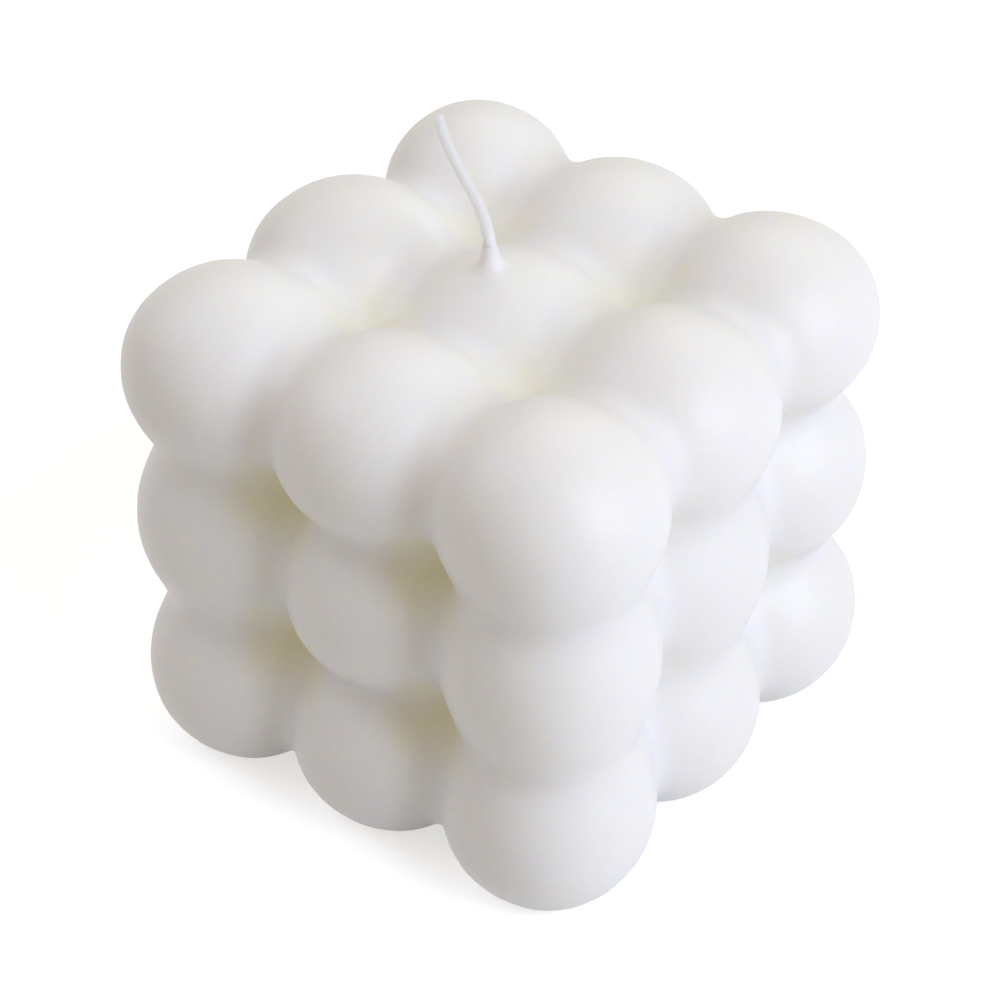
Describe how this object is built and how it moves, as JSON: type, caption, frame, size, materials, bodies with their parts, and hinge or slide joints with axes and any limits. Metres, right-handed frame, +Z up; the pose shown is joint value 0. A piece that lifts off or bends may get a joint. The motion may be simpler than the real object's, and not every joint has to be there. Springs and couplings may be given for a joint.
{
  "type": "cube candle",
  "caption": "Wax candle cast as a cube of round bubbles with softly rounded valleys, small flats underneath to stand on, and a thin cotton wick leaning out of the top.",
  "frame": {"origin": "under the middle of the wax casting, on the plane that its flats stand on", "axes": "+Z up, along the wick's way through the wax; +X and +Y square to the rows of bubbles"},
  "size_m": [0.0598, 0.0598, 0.0718],
  "materials": {
    "wax": "off-white cast candle wax, satin and slightly translucent",
    "waxed_cotton": "thin braided cotton cord under a thin coat of wax"
  },
  "bodies": {
    "root": {"wax_body": "wax", "wick": "waxed_cotton"}
  },
  "joints": []
}
